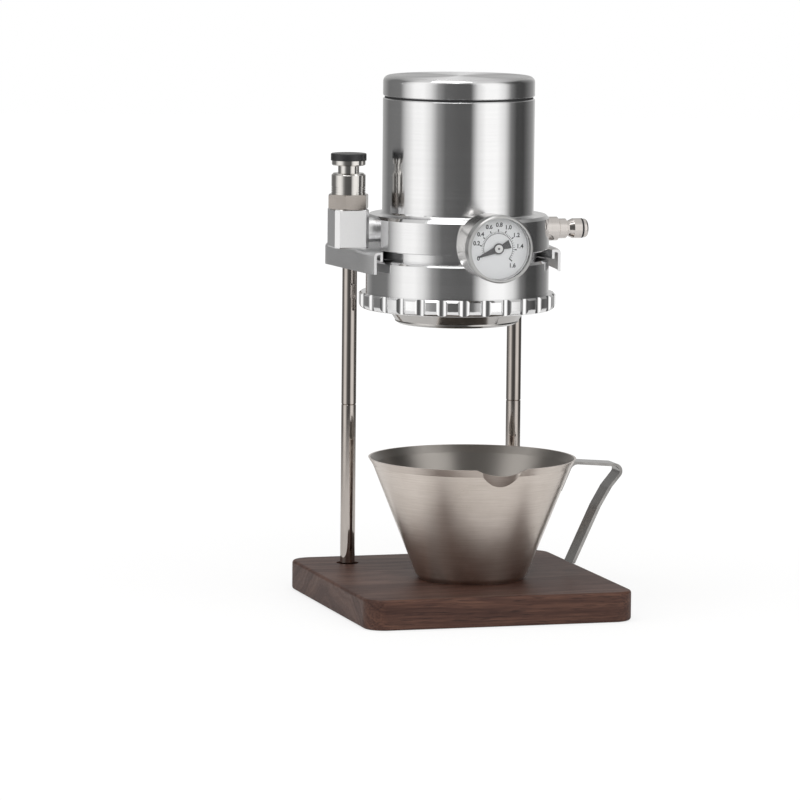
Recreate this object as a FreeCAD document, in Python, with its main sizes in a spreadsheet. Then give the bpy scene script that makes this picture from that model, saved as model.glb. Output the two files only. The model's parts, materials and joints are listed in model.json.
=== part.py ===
import FreeCAD, Part
import math
import os
import re
import Sketcher
from FreeCAD import Placement, Rotation, Vector

# Air-pressure espresso maker on its walnut stand, with its measuring cup.
# Millimetres. The brewer's axis is Z, the board's underside is z = 0, the gauge faces -Y.

os.makedirs("parts", exist_ok=True)
doc = FreeCAD.newDocument("EspressoMaker")
sheet = doc.addObject("Spreadsheet::Sheet", "Sizes")

# Sizes that stand by themselves are numbers. The rest are sums of other sizes.
SIZES = {
    # Radial fits, and how far a tool or a joint runs past a face
    "run_fit": 0.06, "thread_fit": 0.06, "loose_fit": 0.3, "past": 1,
    # Board
    "board_wide": 110, "board_deep": 120, "board_thick": 12, "board_y": -6.8,
    "board_corner_r": 8.5, "board_edge_r": 1.2,
    # Rods, each of two sections that screw together
    "rod_side": 35, "rod_back": 34, "rod_r": 3, "rod_recess_deep": 1,
    "rod_foot_z": "board_thick - rod_recess_deep",
    "lower_rod_long": 66, "upper_rod_long": 64.9, "rod_seam_z": "rod_foot_z + lower_rod_long",
    "rod_edge": 0.25, "stud_r": 2, "stud_long": 8, "stud_hole_deep": 9,
    "rod_recess_r": 4.6, "screw_hole_r": 2.3, "screw_sink_r": 4.2, "screw_sink_deep": 5,
    "screw_head_r": 3.5, "screw_head_t": 4, "screw_key": 3, "screw_key_deep": 2,
    # Brewer body, from the height at which it hangs on the bracket
    "sheet_t": 1, "bracket_top_z": "rod_seam_z + upper_rod_long + sheet_t",
    "body_r": 36.6, "body_edge": 0.4,
    "groove_high": 3.8, "groove_low_z": "bracket_top_z - groove_high",
    "groove_deep": 4.7, "groove_r": "body_r - groove_deep", "groove_edge": 1,
    "collar_high": 13.7, "body_foot_z": "groove_low_z - collar_high",
    "flange_high": 13.7, "flange_top_z": "bracket_top_z + flange_high", "flange_edge": 1.2,
    "shoulder": 6.3, "tube_r": "body_r - shoulder", "tube_fillet": 1.5,
    "tube_high": 46.4, "tube_top_z": "flange_top_z + tube_high",
    "tube_wall": 3.3, "bore_r": "tube_r - tube_wall", "flat_deep": 1.6, "flat_out": "body_r - flat_deep",
    "flat_half": 15, "collar_wall": 3.6, "thread_r": "body_r - collar_wall",
    "spigot_high": 8.4, "spigot_top_z": "body_foot_z + spigot_high",
    "seat_wall": 5.4, "seat_r": "body_r - seat_wall",
    "basket_rim_t": 1, "gasket_t": 2, "screen_t": 0.6,
    "seat_top_z": "spigot_top_z + basket_rim_t + gasket_t + screen_t",
    "port_r": 4, "port_wall": 2.5, "port_floor": "bore_r + port_wall", "passage_r": 1.5,
    # Bracket of folded sheet
    "skirt_high": 8.7, "bracket_over": 4.7, "bracket_r": "body_r + bracket_over",
    "ear_r": 10, "slot_half": "groove_r + loose_fit", "lip_high": "groove_high - body_edge / 2",
    "tip_out": 14.3, "mouth_flare": 3, "mouth_half": "slot_half + mouth_flare",
    "fold_r": 1.8, "flare_out": 3,
    "bracket_screw_r": 1.5, "bracket_screw_long": 6, "bracket_head_r": 3.2, "bracket_head_t": 1.6,
    # Cap
    "seal_t": 0.8, "cap_foot_z": "tube_top_z + seal_t", "cap_high": 8, "cap_top_z": "cap_foot_z + cap_high",
    "cap_round": 2.4, "cap_spigot_long": 8.3, "cap_spigot_z": "cap_foot_z - cap_spigot_long",
    "cap_wall": 5, "cap_hollow_r": "bore_r - cap_wall", "cap_crown_t": 4.3,
    "cap_hollow_top_z": "cap_top_z - cap_crown_t",
    "seal_inset": 0.7, "seal_r": "tube_r - seal_inset", "seal_inner_r": "bore_r + seal_inset",
    # Lock ring, basket, gasket, screen
    "ring_over": 2.8, "ring_r": "body_r + ring_over", "ring_high": 6.6,
    "ring_foot_z": "body_foot_z - ring_high",
    "ring_top_edge": 0.8, "ring_low_r": 2.4, "spigot_wall": 4.6, "ring_bore_r": "thread_r - spigot_wall",
    "flute_count": 28, "flute_r": 2.9, "flute_deep": 1.2,
    "basket_gap": 0.4, "basket_r": "ring_bore_r - basket_gap", "basket_taper": 3.2,
    "basket_low_r": "basket_r - basket_taper", "cone_high": 4.4, "basket_low_z": "ring_foot_z - cone_high",
    "bead_high": 1.5, "basket_foot_z": "basket_low_z - bead_high", "basket_wall": 0.8,
    "basket_waist_z": "ring_foot_z + basket_gap",
    "basket_rim_r": "seat_r - loose_fit", "hole_r": 0.7, "hole_pitch": 8,
    "gasket_inner_r": "basket_r - basket_gap",
    # Pressure gauge, along its own axis from its back face
    "gauge_gap": 2.6, "gauge_back_y": "body_r + gauge_gap", "gauge_rise": 4.5,
    "gauge_z": "bracket_top_z + gauge_rise",
    "case_r": 12.8, "case_long": 16.5, "case_back_t": 1.6, "case_edge": 1.2, "case_inner_r": 12.2,
    "case_ledge_r": 11, "dial_seat": 14.6, "bezel_over": 0.5, "bezel_r": "case_r + bezel_over",
    "bezel_start": 13.7, "bezel_lip": 1.7, "bezel_inner_r": "bezel_r - bezel_lip / 1.5",
    "lens_r": "case_r - loose_fit", "lens_t": 1.5, "gauge_long": "case_long + lens_t + bezel_lip / 1.5",
    "dial_r": "case_inner_r - loose_fit", "dial_t": 0.5,
    "spindle_r": 0.8, "spindle_start": 12, "needle_lift": 0.4, "needle_t": 0.3, "hub_r": 1.6, "hub_t": 0.4,
    "needle_long": 8.8, "needle_tail": 5, "needle_root": 1.3, "needle_tip": 0.2, "needle_tail_half": 1.7,
    "needle_waist": 0.9, "needle_angle": 202, "stem_r": 3, "collar_r": 5, "stem_collar": 1.7,
    "stem_screw_long": 6,
    # Elbow block and relief valve
    "valve_over": 8.9, "valve_out": "body_r + valve_over", "block_wide": 14, "block_edge": 1.6,
    "elbow_rise": 7.9, "elbow_z": "bracket_top_z + elbow_rise", "block_below": 6.8, "block_above": 8.6,
    "block_low_z": "elbow_z - block_below", "block_top_z": "elbow_z + block_above", "neck_r": 4.85,
    "shank_long": 4, "shank_foot_z": "block_top_z - shank_long",
    "hex_across": 15, "hex_high": 5.8, "hex_top_z": "block_top_z + hex_high", "hex_edge": 0.9,
    "valve_r": 6.8, "barrel_high": 8.4, "valve_top_z": "hex_top_z + barrel_high", "valve_groove": 0.3,
    "valve_ring_step": 0.9, "valve_edge": 0.8,
    "floor_drop": 2.2, "valve_floor_z": "hex_top_z - floor_drop", "spring_room": 5.2,
    "piston_r": 4.2, "piston_foot_z": "valve_floor_z + spring_room",
    "press_room": 3, "flange_low_z": "valve_top_z + press_room", "valve_flange_t": 2,
    "flange_high_z": "flange_low_z + valve_flange_t", "valve_flange_r": 6.7, "valve_rod_r": 1.4,
    "button_r": 7.1, "button_t": 2.8, "button_top_z": "flange_high_z + button_t",
    "poppet_r": 2.8, "poppet_t": 1.6, "wire_r": 0.3, "spring_r": 3, "spring_turns": 4.5,
    # Air inlet plug, along +X
    "inlet_rise": 7.2, "inlet_z": "bracket_top_z + inlet_rise",
    "plug_base_r": 4.8, "plug_base_long": 5.4, "plug_base_end": "body_r + plug_base_long", "plug_r": 4,
    "plug_step": 3.1, "plug_neck_start": "plug_base_end + plug_step", "plug_neck_r": 3.1,
    "plug_head_start": "plug_neck_start + plug_step", "plug_head_r": 4, "plug_head_long": 3.2,
    "plug_seal_start": "plug_head_start + plug_head_long", "seal_wide": 0.8, "plug_nose_long": 2.8,
    "plug_end": "plug_seal_start + plug_nose_long", "plug_bore_r": 1.5, "plug_step_edge": 0.5,
    "plug_flare": 2, "plug_nose_r": "plug_head_r - 0.2", "plug_nose_round": 1.2,
    # Measuring cup and its strap handle
    "cup_x": 2.1, "cup_y": -16.2, "cup_high": 48.5, "cup_top_z": "board_thick + cup_high",
    "cup_r": 41.5, "cup_lip_high": 3, "lip_lean": 0.63, "cup_neck_r": "cup_r - cup_lip_high * lip_lean",
    "cup_neck_z": "cup_top_z - cup_lip_high",
    "cup_low_r": 22.3, "cup_foot_r": 20.6, "cup_low_z": "board_thick + 1.8", "cup_foot_round": 1.6,
    "cup_wall": 0.8,
    "spout_r": 15, "spout_out": 2.4, "spout_lean": 0.83, "spout_stretch": 1.3, "spout_dip": 2.4,
    "spout_dip_r": 23,
    "strap_wide": 10, "strap_t": 1.2, "strap_bend": 3.1, "strap_top_z": "cup_top_z - 2.1", "tab_high": 11,
    "strap_out": 64.8, "strap_out_z": "strap_top_z - 1.9", "strap_knee_out": 57.2,
    "strap_knee_z": "cup_top_z - 13.1",
    "strap_mid_out": 52.6, "strap_mid_z": "cup_top_z - 20.9", "strap_foot_out": 42.1,
    "strap_foot_z": "board_thick + 5",
}
for row, alias in enumerate(SIZES, start=1):
    sheet.set("A%d" % row, alias)
    sheet.setAlias("B%d" % row, alias)
for row, size in enumerate(SIZES.values(), start=1):
    sheet.set("B%d" % row, "=" + size if isinstance(size, str) else str(size))
doc.recompute()

X, Y, Z = Vector(1, 0, 0), Vector(0, 1, 0), Vector(0, 0, 1)


def number(text):
    """Value of a sum of named sizes and numbers, such as 'body_r - body_edge / 2'."""
    total = 0.0
    for sign, term in re.findall(r"([+-]?)\s*([a-z0-9_.][a-z0-9_. */]*)", text):
        product = 1.0
        for step, factor in re.findall(r"([*/]?)\s*([a-z0-9_.]+)", term):
            size = SIZES.get(factor, factor)
            size = number(size) if size != factor and isinstance(size, str) else float(size)
            product = product / size if step == "/" else product * size
        total += -product if sign == "-" else product
    return total


def bind(thing, prop, text):
    """Ties a property to the sheet by a sum of named sizes."""
    def in_sheet(match):
        return "Sizes." + match.group(0) if match.group(0) in SIZES else match.group(0)

    thing.setExpression(prop, re.sub(r"[a-z_][a-z0-9_]*", in_sheet, text))


def place(thing, x="0", y="0", z="0", rotation=None):
    if rotation is not None:
        thing.Placement = Placement(Vector(), rotation)
    for axis, text in (("x", x), ("y", y), ("z", z)):
        bind(thing, "Placement.Base." + axis, text)
    return thing


def body_plane(body, role):
    return next(f for f in body.Origin.OriginFeatures if f.Role == role)


def sketch_on(body, role, name, lift="0"):
    sketch = body.newObject("Sketcher::SketchObject", body.Name + name)
    sketch.AttachmentSupport = [(body_plane(body, role), "")]
    sketch.MapMode = "FlatFace"
    if lift != "0":
        bind(sketch, "AttachmentOffset.Base.z", lift)
    return sketch


def fix_point(sketch, line, end, x, y):
    """Ties one sketch point's coordinates to the sheet."""
    for kind, text, axis in (("DistanceX", x, -2), ("DistanceY", y, -1)):
        if abs(number(text)) < 1e-9:
            sketch.addConstraint(Sketcher.Constraint("PointOnObject", line, end, axis))
            continue
        index = sketch.addConstraint(Sketcher.Constraint(kind, -1, 1, line, end, number(text)))
        bind(sketch, "Constraints[%d]" % index, text)


def outline(sketch, points):
    """Closed outline of straight lines through points given as sums of sizes."""
    spots = [Vector(number(x), number(y), 0) for x, y in points]
    first = sketch.GeometryCount
    count = len(spots)
    for i in range(count):
        sketch.addGeometry(Part.LineSegment(spots[i], spots[(i + 1) % count]))
    for i in range(count):
        sketch.addConstraint(Sketcher.Constraint("Coincident", first + i, 2, first + (i + 1) % count, 1))
    for i, (x, y) in enumerate(points):
        fix_point(sketch, first + i, 1, x, y)


def circle(sketch, x, y, radius):
    line = sketch.addGeometry(Part.Circle(Vector(number(x), number(y), 0), Z, number(radius)))
    index = sketch.addConstraint(Sketcher.Constraint("Radius", line, number(radius)))
    bind(sketch, "Constraints[%d]" % index, radius)
    fix_point(sketch, line, 3, x, y)


def new_body(label):
    body = doc.addObject("PartDesign::Body", label)
    body.Label = label
    return body


def turned(label, points):
    """Body turned about its own Z from a half outline of (radius, height) points."""
    body = new_body(label)
    sketch = sketch_on(body, "XZ_Plane", "Outline")
    outline(sketch, points)
    turn = body.newObject("PartDesign::Revolution", label + "Turn")
    turn.Profile = sketch
    turn.ReferenceAxis = (sketch, ["V_Axis"])
    turn.Angle = 360
    return body


def padded(label, sketch, height):
    pad = sketch.getParentGeoFeatureGroup().newObject("PartDesign::Pad", label + "Pad")
    pad.Profile = sketch
    bind(pad, "Length", height)
    return pad


def ease(body, kind, size, test):
    """Rounds or chamfers those edges of the body's tip that pass the test."""
    doc.recompute()
    tip = body.Tip
    names = ["Edge%d" % (i + 1) for i, edge in enumerate(tip.Shape.Edges) if test(edge)]
    feature = body.newObject("PartDesign::" + kind, body.Name + kind + str(len(body.Group)))
    feature.Base = (tip, names)
    bind(feature, "Radius" if kind == "Fillet" else "Size", size)


def is_ring(radius, height):
    """Test for a circular edge of one radius at one height."""
    def test(edge):
        curve = edge.Curve
        return (isinstance(curve, Part.Circle) and abs(curve.Radius - number(radius)) < 1e-4
                and abs(edge.BoundBox.ZMin - number(height)) < 1e-4
                and abs(edge.BoundBox.ZMax - number(height)) < 1e-4)
    return test


def cylinder(name, radius, height, x="0", y="0", z="0", along=Z):
    shape = doc.addObject("Part::Cylinder", name)
    bind(shape, "Radius", radius)
    bind(shape, "Height", height)
    return place(shape, x, y, z, Rotation(Z, along))


def box(name, wide, deep, high, x, y, z):
    shape = doc.addObject("Part::Box", name)
    bind(shape, "Length", wide)
    bind(shape, "Width", deep)
    bind(shape, "Height", high)
    return place(shape, x, y, z)


def fuse(label, shapes):
    joined = doc.addObject("Part::MultiFuse", label)
    joined.Shapes = shapes
    joined.Label = label
    return joined


def cut(label, base, tools):
    made = doc.addObject("Part::Cut", label)
    made.Base = base
    made.Tool = tools[0] if len(tools) == 1 else fuse(label + "Tools", tools)
    made.Label = label
    return made


# Stand

def base_board():
    body = new_body("base_board")
    sketch = sketch_on(body, "XY_Plane", "Plan")
    half, near = "board_wide / 2", "board_y - board_deep / 2"
    far = "board_y + board_deep / 2"
    outline(sketch, [("0 - " + half, near), (half, near), (half, far), ("0 - " + half, far)])
    padded("base_board", sketch, "board_thick")
    ease(body, "Fillet", "board_corner_r", lambda e: e.BoundBox.ZLength > number("board_thick") - 0.1)
    ease(body, "Fillet", "board_edge_r", lambda e: e.BoundBox.ZLength < 0.01)
    for name, radius, depth, low in (
            ("Recess", "rod_recess_r", "board_thick - rod_foot_z", False),
            ("Hole", "screw_hole_r", "board_thick", False),
            ("Sink", "screw_sink_r", "screw_sink_deep", True)):
        ring = sketch_on(body, "XY_Plane", name, "0" if low else "board_thick")
        for side in ("0 - rod_side", "rod_side"):
            circle(ring, side, "rod_back", radius)
        pocket = body.newObject("PartDesign::Pocket", "board" + name)
        pocket.Profile = ring
        pocket.Reversed = low
        bind(pocket, "Length", depth)
    return body


def base_screws():
    """Two socket screws that hold the rods from under the board."""
    head_z = "screw_sink_deep - screw_head_t"
    heads, keys = [], []
    for i, side in enumerate(("0 - rod_side", "rod_side")):
        heads.append(cylinder("screwHead%d" % i, "screw_head_r", "screw_head_t", side, "rod_back", head_z))
        heads.append(cylinder("screwShank%d" % i, "stud_r", "rod_foot_z + stud_long - screw_sink_deep",
                              side, "rod_back", "screw_sink_deep"))
        key = doc.addObject("Part::Prism", "screwKey%d" % i)
        key.Polygon = 6
        bind(key, "Circumradius", "screw_key / 1.732")
        bind(key, "Height", "screw_key_deep")
        keys.append(place(key, side, "rod_back", head_z))
    return cut("base_screws", fuse("screwSolids", heads), keys)


def lower_rod(label, side):
    """Lower section with a screwed stud at its top and a tapped hole in its foot."""
    body = turned(label, [
        ("stud_r + thread_fit", "rod_foot_z"), ("rod_r - rod_edge", "rod_foot_z"),
        ("rod_r", "rod_foot_z + rod_edge"), ("rod_r", "rod_seam_z - rod_edge"),
        ("rod_r - rod_edge", "rod_seam_z"), ("stud_r", "rod_seam_z"),
        ("stud_r", "rod_seam_z + stud_long - rod_edge"), ("stud_r - rod_edge", "rod_seam_z + stud_long"),
        ("0", "rod_seam_z + stud_long"), ("0", "rod_foot_z + stud_hole_deep"),
        ("stud_r + thread_fit", "rod_foot_z + stud_hole_deep")])
    return place(body, side, "rod_back")


def upper_rod(label, side):
    """Upper section, tapped at both ends, that carries the bracket."""
    top = "bracket_top_z - sheet_t"
    body = turned(label, [
        ("stud_r + thread_fit", "rod_seam_z"), ("rod_r - rod_edge", "rod_seam_z"),
        ("rod_r", "rod_seam_z + rod_edge"), ("rod_r", top + " - rod_edge"), ("rod_r - rod_edge", top),
        ("bracket_screw_r + thread_fit", top), ("bracket_screw_r + thread_fit", top + " - stud_hole_deep"),
        ("0", top + " - stud_hole_deep"), ("0", "rod_seam_z + stud_hole_deep"),
        ("stud_r + thread_fit", "rod_seam_z + stud_hole_deep")])
    return place(body, side, "rod_back")


def bracket_plan(grow):
    """Outer plan of the bracket, grown or shrunk by a margin: a disc, two ears and the web between."""
    reach, ear = number("bracket_r") + grow, number("ear_r") + grow
    disc = Part.makeCylinder(reach, 1)
    plan = disc
    for side in (-1, 1):
        spot = Vector(side * number("rod_side"), number("rod_back"), 0)
        plan = plan.fuse(Part.makeCylinder(ear, 1, spot))
        # The side web runs from the ear's outermost point, tangent to the disc
        out = Vector(side * (number("rod_side") + ear), number("rod_back"), 0)
        angle = math.atan2(out.y, out.x * side) - math.acos(min(1, reach / out.Length))
        touch = Vector(side * reach * math.cos(angle), reach * math.sin(angle), 0)
        web = Part.Face(Part.makePolygon([Vector(), touch, out, spot, Vector()]))
        plan = plan.fuse(web.extrude(Z))
    wide = 2 * number("rod_side")
    back = Part.makeBox(wide, number("rod_back") + ear, 1, Vector(-wide / 2, 0, 0))
    return plan.fuse(back).removeSplitter()


def slot_plan(grow):
    """Plan of the fork's slot: round at the back, flared at its mouth."""
    half, mouth = number("slot_half") + grow, number("mouth_half") + grow
    tip = number("tip_out") + number("ear_r")
    start = -number("flare_out")
    slope = (mouth - half) / (number("tip_out") + start)
    far = half + slope * (tip + start)
    points = [Vector(half, 0, 0), Vector(half, start, 0), Vector(far, -tip, 0),
              Vector(-far, -tip, 0), Vector(-half, start, 0), Vector(-half, 0, 0), Vector(half, 0, 0)]
    mouth_part = Part.Face(Part.makePolygon(points)).extrude(Z)
    return Part.makeCylinder(half, 1).fuse(mouth_part).removeSplitter()


def tall(plan, low, high):
    """The one-high plan solid stretched between two heights."""
    flat = next(f for f in plan.Faces if f.normalAt(0, 0).z < -0.99)
    return flat.extrude(Z * (high - low)).translated(Z * low)


def stand_bracket():
    """Fork of folded sheet: top plate, hanging skirt, and a lip around the slot."""
    top, sheet_t = number("bracket_top_z"), number("sheet_t")
    low = top - number("skirt_high")
    outer = tall(bracket_plan(0), low, top)
    crown = [e for e in outer.Edges if e.BoundBox.ZMin > top - 1e-4]
    outer = outer.makeFillet(number("fold_r"), crown)
    inner = tall(bracket_plan(-sheet_t), low - sheet_t, top - sheet_t)
    crown = [e for e in inner.Edges if e.BoundBox.ZMin > top - sheet_t - 1e-4]
    inner = inner.makeFillet(number("fold_r") - sheet_t, crown)
    shell = outer.cut(inner)
    lip = tall(slot_plan(sheet_t), top - number("lip_high"), top).common(outer)
    solid = shell.fuse(lip).cut(tall(slot_plan(0), low - sheet_t, top + sheet_t))
    reach = 2 * number("bracket_r")
    front = Part.makeBox(2 * reach, reach, reach,
                         Vector(-reach, -reach - number("tip_out"), low - reach / 2))
    solid = solid.cut(front)
    for side in (-1, 1):
        spot = Vector(side * number("rod_side"), number("rod_back"), low)
        hole_r = number("bracket_screw_r") + number("loose_fit")
        solid = solid.cut(Part.makeCylinder(hole_r, number("skirt_high") * 2, spot))
    solid = solid.removeSplitter()
    node = doc.addObject("Part::Feature", "stand_bracket")
    node.Shape = max(solid.Solids, key=lambda s: s.Volume)
    node.Placement = Placement()
    return node


def bracket_screws():
    """Two low round-headed screws that hold the bracket on the rods."""
    shapes = []
    for i, side in enumerate(("0 - rod_side", "rod_side")):
        shapes.append(cylinder("bracketHead%d" % i, "bracket_head_r", "bracket_head_t", side, "rod_back",
                               "bracket_top_z"))
        shapes.append(cylinder("bracketShank%d" % i, "bracket_screw_r", "bracket_screw_long + sheet_t",
                               side, "rod_back", "bracket_top_z - sheet_t - bracket_screw_long"))
    return fuse("bracket_screws", shapes)


# Brewer

def brewer_body():
    """Water tube, flange, hanging groove and lower collar, machined from one piece."""
    blank = turned("brewerBlank", [
        ("thread_r + thread_fit", "body_foot_z"), ("body_r", "body_foot_z"),
        ("body_r", "groove_low_z - groove_edge"), ("body_r - groove_edge", "groove_low_z"),
        ("groove_r", "groove_low_z"), ("groove_r", "bracket_top_z"),
        ("body_r - body_edge", "bracket_top_z"), ("body_r", "bracket_top_z + body_edge"),
        ("body_r", "flange_top_z - flange_edge"), ("body_r - flange_edge", "flange_top_z"),
        ("tube_r", "flange_top_z"), ("tube_r", "tube_top_z - body_edge"),
        ("tube_r - body_edge", "tube_top_z"), ("bore_r", "tube_top_z"), ("bore_r", "seat_top_z"),
        ("seat_r", "seat_top_z"), ("seat_r", "spigot_top_z + body_edge"),
        ("thread_r + thread_fit", "spigot_top_z + body_edge")])
    ease(blank, "Fillet", "tube_fillet", is_ring("tube_r", "flange_top_z"))
    tools = [box("flatTool", "shoulder", "flat_half * 2", "flange_high * 1.5", "0 - flat_out - shoulder",
                 "0 - flat_half",
                 "bracket_top_z - groove_high / 2")]
    long, through = "body_r + port_r - port_floor", "port_floor - bore_r + port_r"
    tools.append(cylinder("inletPort", "port_r + thread_fit", long, "port_floor", "0", "inlet_z", X))
    tools.append(cylinder("inletWay", "passage_r", through, "bore_r - port_r / 2", "0", "inlet_z", X))
    tools.append(cylinder("elbowPort", "port_r + thread_fit", long, "0 - port_floor", "0", "elbow_z", -X))
    tools.append(cylinder("elbowWay", "passage_r", through, "port_r / 2 - bore_r", "0", "elbow_z", -X))
    tools.append(cylinder("gaugePort", "stem_r + thread_fit", long, "0", "0 - port_floor", "gauge_z", -Y))
    tools.append(cylinder("gaugeWay", "passage_r", through, "0", "port_r / 2 - bore_r", "gauge_z", -Y))
    return cut("brewer_body", blank, tools)


def top_cap():
    body = turned("top_cap", [
        ("0", "cap_hollow_top_z"), ("cap_hollow_r", "cap_hollow_top_z"), ("cap_hollow_r", "cap_spigot_z"),
        ("bore_r - run_fit - body_edge", "cap_spigot_z"), ("bore_r - run_fit", "cap_spigot_z + body_edge"),
        ("bore_r - run_fit", "cap_foot_z"), ("tube_r - body_edge", "cap_foot_z"),
        ("tube_r", "cap_foot_z + body_edge"), ("tube_r", "cap_top_z"), ("0", "cap_top_z")])
    ease(body, "Fillet", "cap_round", is_ring("tube_r", "cap_top_z"))
    return body


def ring_solid(label, inner, outer, low, high):
    return turned(label, [(inner, low), (outer, low), (outer, high), (inner, high)])


def lock_ring():
    """Fluted ring whose screwed spigot carries the basket up into the body."""
    body = turned("lock_ring", [
        ("ring_bore_r + body_edge", "ring_foot_z"), ("ring_r", "ring_foot_z"),
        ("ring_r", "body_foot_z - ring_top_edge"), ("ring_r - ring_top_edge", "body_foot_z"),
        ("thread_r", "body_foot_z"), ("thread_r", "spigot_top_z - body_edge"),
        ("thread_r - body_edge", "spigot_top_z"), ("ring_bore_r", "spigot_top_z"),
        ("ring_bore_r", "ring_foot_z + body_edge")])
    ease(body, "Fillet", "ring_low_r", is_ring("ring_r", "ring_foot_z"))
    flute = sketch_on(body, "XY_Plane", "Flute", "ring_foot_z - past")
    circle(flute, "ring_r + flute_r - flute_deep", "0", "flute_r")
    pocket = body.newObject("PartDesign::Pocket", "ringFlute")
    pocket.Profile = flute
    pocket.Reversed = True
    bind(pocket, "Length", "body_foot_z - ring_foot_z + past * 2")
    pattern = body.newObject("PartDesign::PolarPattern", "ringFlutes")
    pattern.Originals = [pocket]
    pattern.Axis = (flute, ["N_Axis"])
    pattern.Angle = 360
    bind(pattern, "Occurrences", "flute_count")
    body.Tip = pattern
    return body


def hole_tools(name, low, high):
    """Drills for a round field of holes: one in the middle and rings of six, twelve and so on."""
    tools = [cylinder(name + "0", "hole_r", high, "0", "0", low)]
    pitch = number("hole_pitch")
    for ring in (1, 2):
        for i in range(6 * ring):
            angle = 2 * math.pi * i / (6 * ring)
            drill = doc.addObject("Part::Cylinder", "%s_%d_%d" % (name, ring, i))
            bind(drill, "Radius", "hole_r")
            bind(drill, "Height", high)
            spot = Vector(ring * pitch * math.cos(angle), ring * pitch * math.sin(angle), number(low))
            drill.Placement = Placement(spot, Rotation())
            tools.append(drill)
    return tools


def filter_basket():
    wall = "basket_wall"
    blank = turned("basketBlank", [
        ("0", "basket_foot_z"), ("basket_low_r - bead_high", "basket_foot_z"),
        ("basket_low_r", "basket_foot_z + bead_high * 0.6"),
        ("basket_low_r", "basket_low_z"), ("basket_r", "basket_waist_z"), ("basket_r", "spigot_top_z"),
        ("basket_rim_r", "spigot_top_z"), ("basket_rim_r", "spigot_top_z + basket_rim_t"),
        ("basket_r - " + wall, "spigot_top_z + basket_rim_t"), ("basket_r - " + wall, "basket_waist_z"),
        ("basket_low_r - " + wall, "basket_low_z"), ("basket_low_r - " + wall, "basket_foot_z + " + wall),
        ("0", "basket_foot_z + " + wall)])
    return cut("filter_basket", blank, hole_tools("basketHole", "basket_foot_z - past",
                                                  "basket_wall + past * 2"))


def shower_screen():
    low = "seat_top_z - screen_t"
    blank = turned("screenBlank", [("0", low), ("basket_rim_r", low), ("basket_rim_r", "seat_top_z"),
                                   ("0", "seat_top_z")])
    return cut("shower_screen", blank, hole_tools("screenHole", low + " - past", "screen_t + past * 2"))


# Pressure gauge, turned on its own axis and then faced towards -Y

FACE_FRONT = Rotation(X, 90)


def on_gauge(body):
    return place(body, "0", "0 - gauge_back_y", "gauge_z", FACE_FRONT)


def gauge_case():
    return on_gauge(turned("gauge_case", [
        ("stem_r + thread_fit", "0"), ("case_r - case_edge", "0"), ("case_r", "case_edge"),
        ("case_r", "case_long"), ("case_inner_r", "case_long"), ("case_inner_r", "dial_seat"),
        ("case_ledge_r", "dial_seat"), ("case_ledge_r", "case_back_t"),
        ("stem_r + thread_fit", "case_back_t")]))


def gauge_bezel():
    fit = "case_r + run_fit"
    seat = "case_long + lens_t"
    return on_gauge(turned("gauge_bezel", [
        (fit, "bezel_start"), ("bezel_r - body_edge", "bezel_start"),
        ("bezel_r", "bezel_start + body_edge"),
        ("bezel_r", "gauge_long - bezel_over"), ("bezel_r - bezel_over", "gauge_long"),
        ("bezel_inner_r", "gauge_long"),
        ("bezel_inner_r", seat), (fit, seat)]))


def gauge_lens():
    seat = "case_long + lens_t"
    return on_gauge(turned("gauge_lens", [("0", "case_long"), ("lens_r", "case_long"), ("lens_r", seat),
                                          ("0", seat)]))


def gauge_dial():
    hole, front = "spindle_r + run_fit", "dial_seat + dial_t"
    return on_gauge(turned("gauge_dial", [(hole, "dial_seat"), ("dial_r", "dial_seat"), ("dial_r", front),
                                          (hole, front)]))


def gauge_stem():
    """Threaded stem between the body and the case, with a plain collar in the gap."""
    gap = "0 - stem_collar"
    return on_gauge(turned("gauge_stem", [
        ("passage_r", gap + " - stem_screw_long"), ("stem_r", gap + " - stem_screw_long"), ("stem_r", gap),
        ("collar_r", gap), ("collar_r", "0"), ("stem_r", "0"), ("stem_r", "case_back_t * 2"),
        ("passage_r", "case_back_t * 2")]))


def gauge_needle():
    """Pointer with its broad tail, aimed at zero, on the spindle."""
    low = "dial_seat + dial_t + needle_lift"
    body = new_body("gauge_needle")
    sketch = sketch_on(body, "XY_Plane", "Plan", low)
    outline(sketch, [
        ("needle_long", "0 - needle_tip"), ("needle_long", "needle_tip"), ("hub_r", "needle_root"),
        ("0 - hub_r", "needle_waist"), ("0 - needle_tail", "needle_tail_half"),
        ("0 - needle_tail", "0 - needle_tail_half"), ("0 - hub_r", "0 - needle_waist"),
        ("hub_r", "0 - needle_root")])
    padded("gauge_needle", sketch, "needle_t")
    spindle = sketch_on(body, "XY_Plane", "Spindle", "spindle_start")
    circle(spindle, "0", "0", "spindle_r")
    padded("needleSpindle", spindle, low + " + needle_t - spindle_start")
    turn = Rotation(X, 90).multiply(Rotation(Z, number("needle_angle")))
    return place(body, "0", "0 - gauge_back_y", "gauge_z", turn)


def needle_hub():
    low = "dial_seat + dial_t + needle_lift + needle_t"
    return on_gauge(turned("needle_hub", [("0", low), ("hub_r", low), ("hub_r", low + " + hub_t"),
                                          ("0", low + " + hub_t")]))


# Elbow block and relief valve

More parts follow.
